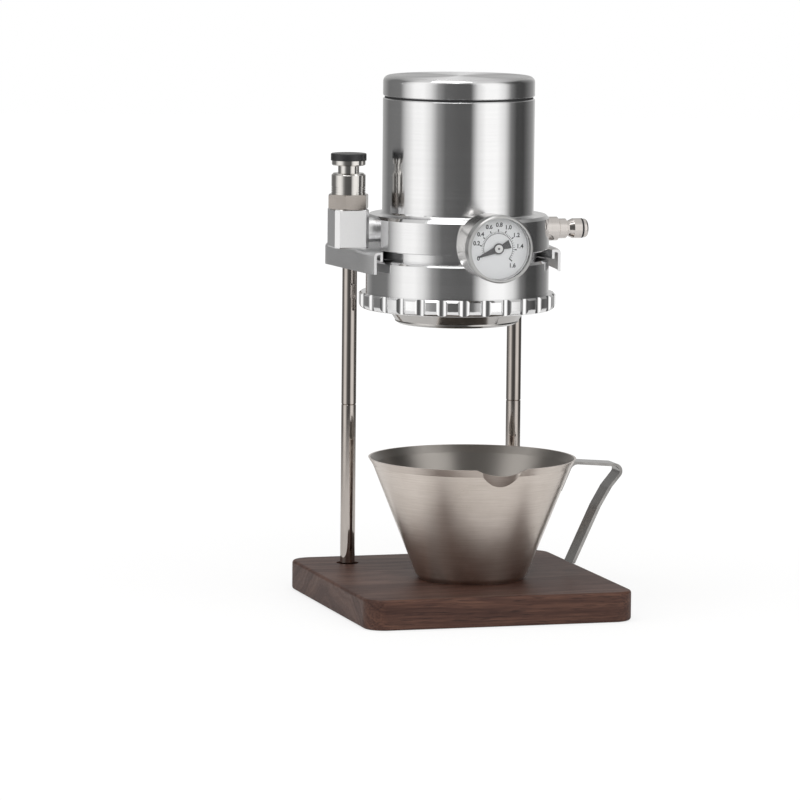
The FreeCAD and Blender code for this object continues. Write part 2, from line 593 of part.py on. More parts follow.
def elbow_block():
    """Square block, drilled at right angles, with the neck and shank that screw into the flange."""
    body = new_body("elbowCore")
    sketch = sketch_on(body, "XY_Plane", "Plan", "block_low_z")
    half = "block_wide / 2"
    outline(sketch, [("0 - " + half, "0 - " + half), (half, "0 - " + half), (half, half),
                     ("0 - " + half, half)])
    high = "block_top_z - block_low_z"
    padded("elbowCore", sketch, high)
    ease(body, "Chamfer", "block_edge", lambda e: e.BoundBox.ZLength > number(high) - 0.1)
    ease(body, "Chamfer", "body_edge", lambda e: e.BoundBox.ZLength < 0.01)
    place(body, "0 - valve_out")
    neck_x, shank_x = "block_wide / 2 - valve_out - past", "0 - flat_out - past"
    neck = cylinder("elbowNeck", "neck_r", "valve_out - block_wide / 2 - flat_out + past", neck_x, "0",
                    "elbow_z", X)
    shank = cylinder("elbowShank", "port_r", "flat_out + past - port_floor", shank_x, "0", "elbow_z", X)
    well = cylinder("elbowWell", "port_r + thread_fit", "block_top_z - elbow_z + port_r",
                    "0 - valve_out", "0", "elbow_z - port_r / 2")
    way = cylinder("elbowBore", "passage_r", "valve_out - port_floor + past", "0 - valve_out", "0",
                   "elbow_z", X)
    return cut("elbow_block", fuse("elbowSolids", [body, neck, shank]), [well, way])


def valve_body():
    """Hexagon, ringed barrel and screwed shank of the relief valve."""
    floor, hole = "valve_floor_z", "valve_rod_r + run_fit"
    groove = "valve_r - valve_groove"
    points = [(hole, "shank_foot_z"), ("port_r", "shank_foot_z"), ("port_r", "block_top_z"),
              ("valve_r", "block_top_z")]
    for step in range(3):
        low = "hex_top_z + valve_ring_step * %d" % (step + 1)
        high = low + " + valve_groove"
        points += [("valve_r", low), (groove, low), (groove, high), ("valve_r", high)]
    points += [("valve_r", "valve_top_z - valve_edge"), ("valve_r - valve_edge", "valve_top_z"),
               ("piston_r + run_fit", "valve_top_z"), ("piston_r + run_fit", floor), (hole, floor)]
    barrel = place(turned("valveBarrel", points), "0 - valve_out")
    corner = "hex_across / 1.7320508"
    prism = doc.addObject("Part::Prism", "valvePrism")
    prism.Polygon = 6
    bind(prism, "Circumradius", corner)
    bind(prism, "Height", "hex_top_z - block_top_z")
    place(prism, "0 - valve_out", "0", "block_top_z", Rotation(Z, 8))
    cone = place(turned("valveCone", [
        ("0", "block_top_z"), (corner + " - hex_edge", "block_top_z"),
        (corner, "block_top_z + hex_edge / 2"),
        (corner, "hex_top_z - hex_edge / 2"), (corner + " - hex_edge", "hex_top_z"), ("0", "hex_top_z")]),
        "0 - valve_out")
    hexagon = doc.addObject("Part::Common", "valveHex")
    hexagon.Base = prism
    hexagon.Tool = cone
    well = cylinder("valveWell", "piston_r + run_fit", "hex_top_z - valve_floor_z + past", "0 - valve_out",
                    "0", floor)
    bore = cylinder("valveBore", hole, "hex_top_z - shank_foot_z", "0 - valve_out", "0",
                    "shank_foot_z - past")
    return cut("valve_body", fuse("valveSolids", [barrel, hexagon]), [well, bore])


def valve_stem():
    return place(turned("valve_stem", [
        ("0", "shank_foot_z"), ("valve_rod_r", "shank_foot_z"), ("valve_rod_r", "piston_foot_z"),
        ("piston_r", "piston_foot_z"), ("piston_r", "flange_low_z"),
        ("valve_flange_r - body_edge", "flange_low_z"),
        ("valve_flange_r", "flange_low_z + body_edge"), ("valve_flange_r", "flange_high_z"),
        ("0", "flange_high_z")]),
        "0 - valve_out")


def valve_poppet():
    foot = "shank_foot_z - poppet_t"
    return place(turned("valve_poppet", [("0", foot), ("poppet_r", foot), ("poppet_r", "shank_foot_z"),
                                         ("0", "shank_foot_z")]),
                 "0 - valve_out")


def button_cap():
    body = turned("button_cap", [
        ("0", "flange_high_z"), ("button_r", "flange_high_z"), ("button_r", "button_top_z"),
        ("0", "button_top_z")])
    ease(body, "Fillet", "body_edge", is_ring("button_r", "button_top_z"))
    return place(body, "0 - valve_out")


def valve_spring():
    """One six-sided wire coiled between the barrel's floor and the piston."""
    wire_r, coil_r, turns = number("wire_r"), number("spring_r"), number("spring_turns")
    low = number("valve_floor_z") + wire_r
    high = number("piston_foot_z") - wire_r
    pitch = (high - low) / turns
    helix = Part.makeHelix(pitch, high - low, coil_r)
    corners = []
    for i in range(7):
        angle = i * math.pi / 3
        corners.append(Vector(coil_r + wire_r * math.cos(angle), 0, wire_r * math.sin(angle)))
    coil = Part.Wire(helix.Edges).makePipeShell([Part.makePolygon(corners)], True, True)
    print("spring least gap %.2f mm" % (pitch - 2 * wire_r))
    node = doc.addObject("Part::Feature", "valve_spring")
    node.Shape = coil
    return place(node, "0 - valve_out", "0", "valve_floor_z + wire_r")


# Air inlet

def inlet_plug():
    """Quick-connect plug, turned about its own axis and pointed along +X."""
    body = turned("inlet_plug", [
        ("plug_bore_r", "port_floor + loose_fit"), ("port_r", "port_floor + loose_fit"),
        ("port_r", "body_r"),
        ("plug_base_r", "body_r"), ("plug_base_r", "plug_base_end - plug_step_edge"),
        ("plug_r", "plug_base_end"),
        ("plug_r", "plug_neck_start"), ("plug_neck_r", "plug_neck_start + plug_step_edge"),
        ("plug_neck_r", "plug_head_start - plug_flare"), ("plug_head_r", "plug_head_start"),
        ("plug_head_r", "plug_seal_start"), ("plug_neck_r", "plug_seal_start"),
        ("plug_neck_r", "plug_seal_start + seal_wide"), ("plug_nose_r", "plug_seal_start + seal_wide"),
        ("plug_nose_r", "plug_end"), ("plug_bore_r", "plug_end")])
    ease(body, "Fillet", "plug_nose_round", is_ring("plug_nose_r", "plug_end"))
    return place(body, "0", "0", "inlet_z", Rotation(Y, 90))


def inlet_seal():
    body = ring_solid("inlet_seal", "plug_neck_r + loose_fit", "plug_head_r - run_fit",
                      "plug_seal_start", "plug_seal_start + seal_wide")
    return place(body, "0", "0", "inlet_z", Rotation(Y, 90))


# Measuring cup

def cup_shell(label, shrink, lift, over):
    """Solid with the cup's outer form, or with its inner form one wall in, carried on over the rim."""
    body = turned(label, [
        ("0", "board_thick" + lift), ("cup_foot_r" + shrink, "board_thick" + lift),
        ("cup_low_r" + shrink, "cup_low_z" + lift), ("cup_neck_r" + shrink, "cup_neck_z"),
        ("cup_r + %s * lip_lean" % over + shrink, "cup_top_z + " + over), ("0", "cup_top_z + " + over)])
    ease(body, "Fillet", "cup_foot_round" + shrink, is_ring("cup_low_r" + shrink, "cup_low_z" + lift))
    return place(body, "cup_x", "cup_y")


def measuring_cup():
    """Spun cup with a shallow pouring lip pressed out of its rim."""
    outer = cup_shell("cupOuter", "", "", "0")
    inner = cup_shell("cupInner", " - cup_wall", " + cup_wall", "spout_dip")
    lean = Vector(0, -number("spout_lean"), 1)
    # The roller starts below the rim, this far behind where its outermost line meets the rim height
    back = "spout_r * spout_stretch + spout_lean * cup_high / 3"
    lips = []
    for name, thinner in (("lipOuter", ""), ("lipInner", " - cup_wall")):
        lip = doc.addObject("Part::Cylinder", name)
        bind(lip, "Radius", "spout_r" + thinner)
        bind(lip, "Height", "cup_high")
        place(lip, "cup_x", "cup_y - cup_r - spout_out + " + back, "cup_top_z - cup_high / 3",
              Rotation(Z, lean))
        lips.append(lip)
    wide = "cup_r * 3"
    flat = box("lipTrim", wide, wide, "cup_high", "cup_x - cup_r * 1.5", "cup_y - cup_r * 1.5", "cup_top_z")
    rear = box("lipRear", wide, wide, "cup_high * 3", "cup_x - cup_r * 1.5", "cup_y - cup_low_r",
               "0 - cup_high")
    added = cut("lipAdded", lips[0], [flat, rear])
    dip = cylinder("lipDip", "spout_dip_r", "cup_r * 2", "cup_x", "cup_y - cup_low_r",
                   "cup_top_z + spout_dip_r - spout_dip", -Y)
    hollow = cut("lipHollow", lips[1], [box("lipFar", wide, wide, "cup_high * 3", "cup_x - cup_r * 1.5",
                                            "cup_y + cup_low_r", "0 - cup_high")])
    return cut("measuring_cup", fuse("cupSolids", [outer, added]), [inner, hollow, dip])


def cup_handle():
    """Strap of flat steel: tab on the wall, one bend, a free end that steepens."""
    body = new_body("cup_handle")
    sketch = sketch_on(body, "XZ_Plane", "Side")
    wall_lean = (number("cup_neck_r") - number("cup_low_r")) / (number("cup_neck_z") - number("cup_low_z"))
    tab_back = "tab_high * %.4f" % wall_lean
    low = "cup_neck_z - tab_high"
    outline(sketch, [
        ("cup_neck_r - loose_fit - " + tab_back, low), ("cup_neck_r - loose_fit", "cup_neck_z"),
        ("cup_neck_r", "strap_top_z"), ("strap_out", "strap_out_z"), ("strap_knee_out", "strap_knee_z"),
        ("strap_mid_out", "strap_mid_z"), ("strap_foot_out", "strap_foot_z"),
        ("strap_foot_out - strap_t * 1.1", "strap_foot_z"),
        ("strap_mid_out - strap_t * 1.1", "strap_mid_z"),
        ("strap_knee_out - strap_t * 1.2", "strap_knee_z"),
        ("strap_out - strap_t * 2", "strap_out_z - strap_t * 0.85"),
        ("cup_neck_r + strap_t", "strap_top_z - strap_t"),
        ("cup_neck_r + strap_t - loose_fit - " + tab_back, low)])
    pad = padded("cup_handle", sketch, "strap_wide")
    pad.Midplane = True

    def is_fold(across, up):
        """Test for an edge through the strap's width at one corner of its side outline."""
        def test(edge):
            box_ = edge.BoundBox
            return (box_.YLength > number("strap_wide") - 0.1 and abs(box_.XMin - number(across)) < 1e-3
                    and abs(box_.ZMin - number(up)) < 1e-3)
        return test

    ease(body, "Fillet", "strap_bend", is_fold("strap_out", "strap_out_z"))
    ease(body, "Fillet", "strap_bend - strap_t",
         is_fold("strap_out - strap_t * 2", "strap_out_z - strap_t * 0.85"))
    ease(body, "Fillet", "strap_bend", is_fold("cup_neck_r + strap_t", "strap_top_z - strap_t"))
    return place(body, "cup_x", "cup_y")


def build():
    nodes = [base_board(), base_screws()]
    for name, side in (("left", "0 - rod_side"), ("right", "rod_side")):
        nodes.append(lower_rod("lower_rod_" + name, side))
        nodes.append(upper_rod("upper_rod_" + name, side))
    nodes += [stand_bracket(), bracket_screws(), brewer_body(), top_cap()]
    nodes.append(ring_solid("cap_seal", "seal_inner_r", "seal_r", "tube_top_z", "cap_foot_z"))
    nodes.append(lock_ring())
    nodes.append(filter_basket())
    rim = "spigot_top_z + basket_rim_t"
    nodes.append(ring_solid("group_gasket", "gasket_inner_r", "basket_rim_r", rim, rim + " + gasket_t"))
    nodes += [shower_screen(), gauge_stem(), gauge_case(), gauge_bezel(), gauge_lens(), gauge_dial(),
              gauge_needle(), needle_hub(), elbow_block(), valve_body(), valve_stem(), valve_poppet(),
              button_cap(), valve_spring(), inlet_plug(), inlet_seal(), measuring_cup(), cup_handle()]
    doc.recompute()
    for thing in doc.Objects:
        if "Invalid" in thing.State or "Error" in thing.State:
            raise RuntimeError("%s does not compute" % thing.Label)
    for node in nodes:
        if node.Shape.isNull() or not node.Shape.isValid() or not node.Shape.Solids:
            raise RuntimeError("%s has no valid solid" % node.Label)
        node.Shape.exportStep("parts/%s.step" % node.Label)
        print(node.Label, len(node.Shape.Solids), round(node.Shape.Volume))


build()
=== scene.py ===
import json
import math

import bmesh
import bpy
from mathutils import Matrix, Vector


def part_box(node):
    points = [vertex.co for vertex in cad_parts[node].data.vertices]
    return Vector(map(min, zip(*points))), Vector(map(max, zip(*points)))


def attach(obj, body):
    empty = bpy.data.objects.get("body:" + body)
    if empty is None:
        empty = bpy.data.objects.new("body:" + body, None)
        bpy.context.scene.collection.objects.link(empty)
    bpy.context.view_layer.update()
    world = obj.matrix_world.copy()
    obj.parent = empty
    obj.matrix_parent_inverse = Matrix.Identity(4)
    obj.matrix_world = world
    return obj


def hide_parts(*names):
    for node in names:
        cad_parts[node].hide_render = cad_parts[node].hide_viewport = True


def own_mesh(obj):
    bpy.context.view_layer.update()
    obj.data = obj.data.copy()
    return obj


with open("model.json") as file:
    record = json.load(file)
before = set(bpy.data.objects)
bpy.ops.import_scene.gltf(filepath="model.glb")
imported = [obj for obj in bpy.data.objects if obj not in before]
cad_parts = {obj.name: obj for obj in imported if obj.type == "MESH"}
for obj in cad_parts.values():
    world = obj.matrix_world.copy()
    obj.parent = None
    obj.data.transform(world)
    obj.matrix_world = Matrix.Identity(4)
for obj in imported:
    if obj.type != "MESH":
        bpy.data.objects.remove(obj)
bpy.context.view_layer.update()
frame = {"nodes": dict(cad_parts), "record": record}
nodes = frame["nodes"]
MM = 0.001

# Named places on the object, in millimetres, as in the CAD
GAUGE_BACK_Y = -39.2
GAUGE_CENTRE = (0, GAUGE_BACK_Y, 147.4)
DIAL_FRONT = 15.1
SCREW_AXIS = (-35, 34, 0)
PLUG_AXIS = (0, 0, 150.1)
CUP_X, CUP_Y = 2.1, -16.2
VALVE_X = -45.5
VALVE_CENTRE = (VALVE_X, 0, 0)
VALVE_BARREL_HIGH = 8.4


# Shader building

# Most of a noise pattern's values lie between these two
NOISE_LOW, NOISE_HIGH = 0.35, 0.65
# Depth of the surface's unevenness, in metres
SHEET_DEPTH = 0.00003
RING_DEPTH = 0.00004
SKIN_DEPTH = 0.00005
WOOD_DEPTH = 0.00008
# Turn that lays the highlights across a lathe's rings, as a share of a full turn
RING_SHEEN_TURN = 0.25


class Nodes:
    """A node tree, with short ways to add and join nodes."""

    def __init__(self, tree):
        self.tree = tree

    def add(self, kind, **settings):
        node = self.tree.nodes.new(kind)
        for key, value in settings.items():
            setattr(node, key, value)
        return node

    def join(self, source, target):
        """Link a socket to another one, or set a plain value on it."""
        if hasattr(source, "links"):
            self.tree.links.new(source, target)
        else:
            target.default_value = source

    def math(self, operation, a, b=0.0, c=0.0):
        node = self.add("ShaderNodeMath", operation=operation)
        for socket, value in zip(node.inputs, (a, b, c)):
            self.join(value, socket)
        return node.outputs[0]

    def times(self, a, b):
        return self.math("MULTIPLY", a, b)

    def plus(self, a, b):
        return self.math("ADD", a, b)

    def minus(self, a, b):
        return self.math("SUBTRACT", a, b)

    def total(self, *parts):
        """Sum of values, each times its weight."""
        result = 0.0
        for value, weight in parts:
            result = self.plus(self.times(value, weight), result)
        return result

    def diagonal(self, a, b):
        return self.math("SQRT", self.plus(self.times(a, a), self.times(b, b)))

    def split(self, vector):
        node = self.add("ShaderNodeSeparateXYZ")
        self.join(vector, node.inputs[0])
        return node.outputs

    def vector(self, x=0.0, y=0.0, z=0.0):
        node = self.add("ShaderNodeCombineXYZ")
        for socket, value in zip(node.inputs, (x, y, z)):
            self.join(value, socket)
        return node.outputs[0]

    def ramp(self, value, stops):
        """Colour by place along the stops, each a place from 0 to 1 and a colour."""
        node = self.add("ShaderNodeValToRGB")
        self.join(value, node.inputs["Fac"])
        ramp = node.color_ramp
        while len(ramp.elements) < len(stops):
            ramp.elements.new(0.5)
        for element, (place, colour) in zip(ramp.elements, stops):
            element.position = place
            element.color = (*colour, 1)
        return node.outputs["Color"]

    def curve(self, value, points):
        """Value by straight lines between points, each a place from 0 to 1 and a level up to 2."""
        top = 2.0
        halved = [(place, [level / top] * 3) for place, level in points]
        return self.times(self.ramp(value, halved), top)

    def mix_shader(self, share, a, b):
        """Shader a, giving way to shader b as the share rises."""
        node = self.add("ShaderNodeMixShader")
        self.join(share, node.inputs["Fac"])
        self.join(a.outputs[0], node.inputs[1])
        self.join(b.outputs[0], node.inputs[2])
        return node


class Shader(Nodes):
    """A material under construction."""

    def __init__(self, name):
        self.material = bpy.data.materials.new(name)
        self.material.use_nodes = True
        super().__init__(self.material.node_tree)
        self.main = self.tree.nodes["Principled BSDF"]
        self.output = self.tree.nodes["Material Output"]
        self.position = self.add("ShaderNodeTexCoord").outputs["Object"]

    def set(self, **values):
        for key, value in values.items():
            self.join(value, self.main.inputs[key.replace("_", " ")])

    def noise(self, vector, scale=1.0, detail=3.0, rough=0.5):
        node = self.add("ShaderNodeTexNoise")
        self.join(vector, node.inputs["Vector"])
        node.inputs["Scale"].default_value = scale
        node.inputs["Detail"].default_value = detail
        node.inputs["Roughness"].default_value = rough
        return node.outputs["Fac"]

    def cloud(self, scale, detail=3.0):
        """Unevenness without a direction."""
        return self.noise(self.position, scale, detail, rough=0.6)

    def scratches(self, stretch, scale, detail, rough):
        """Noise pressed together along the axes with a large stretch."""
        node = self.add("ShaderNodeMapping")
        self.join(self.position, node.inputs["Vector"])
        node.inputs["Scale"].default_value = stretch
        return self.noise(node.outputs["Vector"], scale, detail, rough)

    def rings(self, radius, along, grain, detail=2.0, offset=0.0):
        """A lathe's grooves, finer as the grain rises."""
        place = self.vector(self.times(radius, grain), self.times(along, grain), offset)
        return self.noise(place, detail=detail)

    def figure(self, across, along, detail, rough=0.5):
        """Noise drawn out along X, by its scale across the grain and along it."""
        x, y, z = self.split(self.position)
        place = self.vector(self.times(x, along), self.times(y, across), self.times(z, across))
        return self.noise(place, detail=detail, rough=rough)

    def span(self, value, low, high, out_low, out_high):
        node = self.add("ShaderNodeMapRange")
        for name, setting in (("Value", value), ("From Min", low), ("From Max", high),
                              ("To Min", out_low), ("To Max", out_high)):
            self.join(setting, node.inputs[name])
        return node.outputs["Result"]

    def noise_span(self, value, out_low, out_high):
        return self.span(value, NOISE_LOW, NOISE_HIGH, out_low, out_high)

    def tones(self, value, low, high):
        return self.ramp(value, [(NOISE_LOW, low), (NOISE_HIGH, high)])

    def mix(self, share, a, b):
        """Colour a, giving way to colour b as the share rises."""
        node = self.add("ShaderNodeMix", data_type="RGBA")
        self.join(share, node.inputs["Factor"])
        self.join(a, node.inputs[6])
        self.join(b, node.inputs[7])
        return node.outputs[2]

    def bump(self, height, strength, depth):
        node = self.add("ShaderNodeBump")
        self.join(height, node.inputs["Height"])
        node.inputs["Strength"].default_value = strength
        node.inputs["Distance"].default_value = depth
        self.join(node.outputs["Normal"], self.main.inputs["Normal"])

    def sheen(self, amount, axis):
        """Highlights stretched across the rings round an axis."""
        self.set(Anisotropic=amount, Anisotropic_Rotation=RING_SHEEN_TURN)
        node = self.add("ShaderNodeTangent", direction_type="RADIAL", axis=axis)
        self.join(node.outputs["Tangent"], self.main.inputs["Tangent"])


def turning(s, centre, axis):
    """Distance from a lathe's axis, and place along it."""
    places = s.split(s.position)
    first, second, third = {"X": (1, 2, 0), "Y": (0, 2, 1), "Z": (0, 1, 2)}[axis]
    a = s.minus(places[first], centre[first] * MM)
    b = s.minus(places[second], centre[second] * MM)
    return s.diagonal(a, b), places[third]


def shades(colour, darker, lighter):
    low = [c * (1 - darker) for c in colour]
    high = [min(1, c * (1 + lighter)) for c in colour]
    return low, high


# Materials

def turned_metal(name, colour, rough, centre=(0, 0, 0), axis="Z", grain=9000, lines=0.12,
                 anisotropic=0.75, spread=0.08, tone=0.1):
    """Lathe-turned or spun metal: fine rings, stretched highlights and a little unevenness."""
    s = Shader(name)
    radius, along = turning(s, centre, axis)
    fine = s.rings(radius, along, grain)
    coarser = 9
    broad = s.rings(radius, along, grain / coarser, detail=3.0, offset=3.0)
    cloud = s.cloud(28.0, detail=4.0)
    grooves = s.total((fine, 0.5), (broad, 0.5))
    low, high = shades(colour, tone, tone * 0.6)
    wear = s.total((grooves, 1.0), (cloud, 0.5))
    s.set(Base_Color=s.tones(s.total((grooves, 0.7), (cloud, 0.3)), low, high), Metallic=1.0,
          Roughness=s.span(wear, 0.5, 1.0, rough - spread / 2, rough + spread / 2))
    if anisotropic:
        s.sheen(anisotropic, axis)
    s.bump(grooves, lines, RING_DEPTH)
    return s.material


def sheet_metal(name, colour, rough, stretch=(1.0, 30.0, 30.0), grain=160, lines=0.15, tone=0.12,
                spread=0.12):
    """Brushed sheet or bar: fine straight scratches one way, faint smudges over them."""
    s = Shader(name)
    scratches = s.scratches(stretch, grain, detail=5.0, rough=0.65)
    both = s.total((scratches, 0.6), (s.cloud(40.0), 0.4))
    low, high = shades(colour, tone, tone)
    s.set(Base_Color=s.tones(both, low, high), Metallic=1.0,
          Roughness=s.noise_span(both, rough - spread / 2, rough + spread / 2))
    s.bump(scratches, lines, SHEET_DEPTH)
    return s.material


def lid_metal(name):
    """Turned aluminium whose flat top is faced more coarsely, so it shows a fan-shaped sheen."""
    s = Shader(name)
    radius, along = turning(s, (0, 0, 0), "Z")
    both = s.total((s.rings(radius, along, 12000.0), 0.6), (s.cloud(28.0, detail=4.0), 0.4))
    normal = s.split(s.add("ShaderNodeNewGeometry").outputs["Normal"])
    sloping, flat = 0.75, 0.97
    on_top = s.span(normal["Z"], sloping, flat, 0.0, 1.0)
    rough = s.plus(s.noise_span(both, 0.11, 0.15), s.times(on_top, 0.26))
    s.set(Base_Color=s.tones(both, (0.70, 0.70, 0.705), (0.77, 0.77, 0.775)), Metallic=1.0, Roughness=rough)
    s.sheen(0.9, "Z")
    s.bump(both, 0.05, RING_DEPTH)
    return s.material


def valve_metal(name, hexagon_top):
    """Bright turned barrel above a duller hexagon, whose darker colour is a painted dark reflection."""
    s = Shader(name)
    radius, along = turning(s, VALVE_CENTRE, "Z")
    both = s.total((s.rings(radius, along, 9000.0), 0.5), (s.cloud(90.0), 0.5))
    bright = s.tones(both, (0.61, 0.59, 0.565), (0.68, 0.66, 0.635))
    # Painted shade: the hexagon's darker colour stands in for the dark reflections of its flat faces
    painted_shade_hexagon = s.tones(both, (0.25, 0.225, 0.205), (0.36, 0.33, 0.305))
    hexagon = s.math("LESS_THAN", along, hexagon_top)
    rough = s.plus(s.noise_span(both, 0.055, 0.105), s.times(hexagon, 0.05))
    s.set(Base_Color=s.mix(hexagon, bright, painted_shade_hexagon), Metallic=1.0, Roughness=rough)
    s.bump(both, 0.05, RING_DEPTH)
    return s.material


def hub_metal(name):
    """Bright pressed disc with a small dark rivet end at its middle."""
    s = Shader(name)
    radius, _ = turning(s, GAUGE_CENTRE, "Y")
    rings = s.rings(radius, 0.0, 9000.0)
    disc = s.tones(rings, (0.80, 0.80, 0.80), (0.88, 0.88, 0.88))
    rivet_radius = 0.45
    rivet = s.math("LESS_THAN", radius, rivet_radius * MM)
    s.set(Base_Color=s.mix(rivet, disc, (0.10, 0.10, 0.10, 1)), Metallic=s.minus(1.0, rivet),
          Roughness=s.span(rings, 0.3, 0.7, 0.4, 0.5))
    s.bump(rings, 0.05, RING_DEPTH)
    return s.material


def gauge_shell(name):
    """Bright case outside, and a pale, non-metal colour on the inner wall that shows round the dial."""
    s = Shader(name)
    radius, along = turning(s, GAUGE_CENTRE, "Y")
    # The inner wall round the dial gets a pale, non-metal colour in place of the case's metal
    pale_wall_radius, pale_wall_start = 12.4, GAUGE_BACK_Y - 2
    within = s.math("LESS_THAN", radius, pale_wall_radius * MM)
    in_front = s.math("LESS_THAN", along, pale_wall_start * MM)
    pale_wall = s.times(within, in_front)
    rings = s.rings(radius, along, 6000.0)
    metal = s.tones(s.cloud(40.0), (0.56, 0.55, 0.54), (0.64, 0.63, 0.615))
    rough = s.plus(s.span(rings, 0.3, 0.7, 0.12, 0.20), s.times(pale_wall, 0.4))
    s.set(Base_Color=s.mix(pale_wall, metal, (0.78, 0.78, 0.78, 1)), Metallic=s.minus(1.0, pale_wall),
          Roughness=rough)
    s.bump(rings, 0.04, RING_DEPTH)
    return s.material


def cup_metal(name):
    """Brushed steel of the cup: faint rings, smudged outside, duller inside, and darker inside with painted
    shade.
    """
    s = Shader(name)
    radius, along = turning(s, (CUP_X, CUP_Y, 0), "Z")
    rings = s.rings(radius, along, 5200.0, detail=3.0)
    scratches = s.scratches((1.0, 1.0, 26.0), 90.0, detail=4.0, rough=0.6)
    both = s.total((rings, 0.25), (scratches, 0.35), (s.cloud(45.0, detail=4.0), 0.4))
    outside = s.tones(both, (0.57, 0.505, 0.45), (0.75, 0.685, 0.63))
    # The inside wall's normals point back at the cup's own axis
    place = s.split(s.position)
    normal = s.split(s.add("ShaderNodeNewGeometry").outputs["Normal"])
    outward = s.total((s.minus(place["X"], CUP_X * MM), normal["X"]),
                      (s.minus(place["Y"], CUP_Y * MM), normal["Y"]))
    inside = s.span(outward, -0.004, 0.0, 1.0, 0.0)
    rough = s.plus(s.noise_span(both, 0.27, 0.32), s.times(inside, 0.04))
    # Painted shade: the inside wall's darker colour stands in for the shade in the cup's hollow
    s.set(Base_Color=s.mix(inside, outside, (0.40, 0.375, 0.35, 1)), Metallic=1.0, Roughness=rough)
    s.sheen(0.8, "Z")
    s.bump(rings, 0.10, RING_DEPTH)
    return s.material


def plastic(name, colour, rough, grain=900, lines=0.15, tone=0.25):
    """Moulded plastic, rubber, paint or ink: a fine skin texture and slight wear."""
    s = Shader(name)
    cloud = s.cloud(60.0)
    low, high = shades(colour, tone, tone)
    s.set(Base_Color=s.tones(cloud, low, high), Roughness=s.noise_span(cloud, rough - 0.05, rough + 0.08))
    s.bump(s.cloud(grain, detail=4.0), lines, SKIN_DEPTH)
    return s.material


def walnut(name):
    """Dark oiled walnut: long figure along X, pores, and rings on the sawn ends."""
    s = Shader(name)
    x, y, z = s.split(s.position)
    # The rings run round the trunk's heart, which lies below the board and in front of its middle
    heart_below, heart_forward = 0.045, 0.012
    heart = s.diagonal(s.plus(z, heart_below), s.plus(y, heart_forward))
    warp = s.figure(across=22.0, along=5.0, detail=3.0)
    rings = s.total((heart, 190.0), (warp, 5.5))
    bands = s.noise(s.vector(rings, s.times(x, 2.0)), detail=4.0, rough=0.6)
    fibre = s.figure(across=1400.0, along=60.0, detail=3.0, rough=0.7)
    pores = s.span(s.figure(across=2300.0, along=130.0, detail=1.0), 0.60, 0.70, 0.0, 1.0)
    mixed = s.total((bands, 0.62), (fibre, 0.38))
    wood = s.ramp(mixed, [(0.30, (0.020, 0.009, 0.007)), (0.46, (0.058, 0.027, 0.020)),
                          (0.58, (0.100, 0.048, 0.033)), (0.75, (0.165, 0.086, 0.058))])
    s.set(Base_Color=s.mix(s.times(pores, 0.6), wood, (0.014, 0.008, 0.007, 1)),
          Roughness=s.span(mixed, 0.3, 0.7, 0.55, 0.40), Specular_IOR_Level=0.22)
    s.bump(s.minus(s.times(fibre, 0.5), pores), 0.35, WOOD_DEPTH)
    return s.material


def clear_glass(name):
    """Thin glass: see-through, with a mirror sheen that a faint smear dims."""
    s = Shader(name)
    see = s.add("ShaderNodeBsdfTransparent")
    shine = s.add("ShaderNodeBsdfGlossy")
    shine.inputs["Roughness"].default_value = 0.03
    edge = s.add("ShaderNodeFresnel")
    edge.inputs["IOR"].default_value = 1.45
    smear = s.span(s.noise(s.position, 120.0), 0.3, 0.7, 0.55, 0.75)
    glass = s.mix_shader(s.times(edge.outputs[0], smear), see, shine)
    s.join(glass.outputs[0], s.output.inputs["Surface"])
    return s.material


# One look for each material slot of the record
LOOKS = {
    "walnut": walnut("walnut_oiled"),
    "screw_steel": turned_metal("screw_steel_plain", (0.45, 0.45, 0.46), 0.34, SCREW_AXIS),
    "rod_steel": sheet_metal("rod_steel_polished", (0.46, 0.42, 0.39), 0.045, (30.0, 30.0, 1.0), lines=0.03,
                             spread=0.03),
    "bracket_steel": sheet_metal("bracket_steel_satin", (0.82, 0.82, 0.825), 0.38, (2.0, 2.0, 30.0),
                                 tone=0.06, lines=0.08),
    "aluminium": turned_metal("aluminium_turned", (0.74, 0.74, 0.745), 0.13, grain=12000, lines=0.04,
                              tone=0.05, anisotropic=0.85, spread=0.05),
    "ring_aluminium": turned_metal("ring_aluminium_bright", (0.80, 0.80, 0.805), 0.09, lines=0.03, tone=0.03,
                                   anisotropic=0.3, spread=0.04),
    "basket_steel": turned_metal("basket_steel_polished", (0.50, 0.485, 0.47), 0.10, lines=0.04,
                                 anisotropic=0.3, spread=0.04),
    "black_rubber": plastic("black_rubber_matte", (0.018, 0.018, 0.019), 0.6),
    "chrome": turned_metal("chrome_gauge_case", (0.60, 0.595, 0.585), 0.17, GAUGE_CENTRE, "Y", lines=0.04,
                           tone=0.05, anisotropic=0.6),
    "plug_nickel": turned_metal("plug_nickel_bright", (0.62, 0.585, 0.56), 0.09, PLUG_AXIS, "X", lines=0.05,
                                anisotropic=0.0, tone=0.06, spread=0.05),
    "satin_nickel": sheet_metal("satin_nickel_block", (0.80, 0.80, 0.805), 0.36, (9.0, 9.0, 3.0), grain=420,
                                tone=0.03, lines=0.05),
    "brass": turned_metal("brass_stem", (0.68, 0.55, 0.32), 0.22, GAUGE_CENTRE, "Y", anisotropic=0.0),
    "lens_glass": clear_glass("lens_glass_clear"),
    "dial_face": plastic("dial_face_pale", (0.78, 0.79, 0.80), 0.55, grain=2500, lines=0.05, tone=0.03),
    "needle_black": plastic("needle_black_satin", (0.07, 0.07, 0.073), 0.45),
    "hub_metal": hub_metal("hub_metal_turned"),
    "black_plastic": plastic("black_plastic_satin", (0.016, 0.016, 0.017), 0.34, grain=1600, lines=0.08),
    "spring_steel": sheet_metal("spring_steel_wire", (0.5, 0.5, 0.5), 0.25),
    "cup_steel": cup_metal("cup_steel_brushed"),
}
VALVE_HEXAGON_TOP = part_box("valve_body")[1][2] - VALVE_BARREL_HIGH * MM
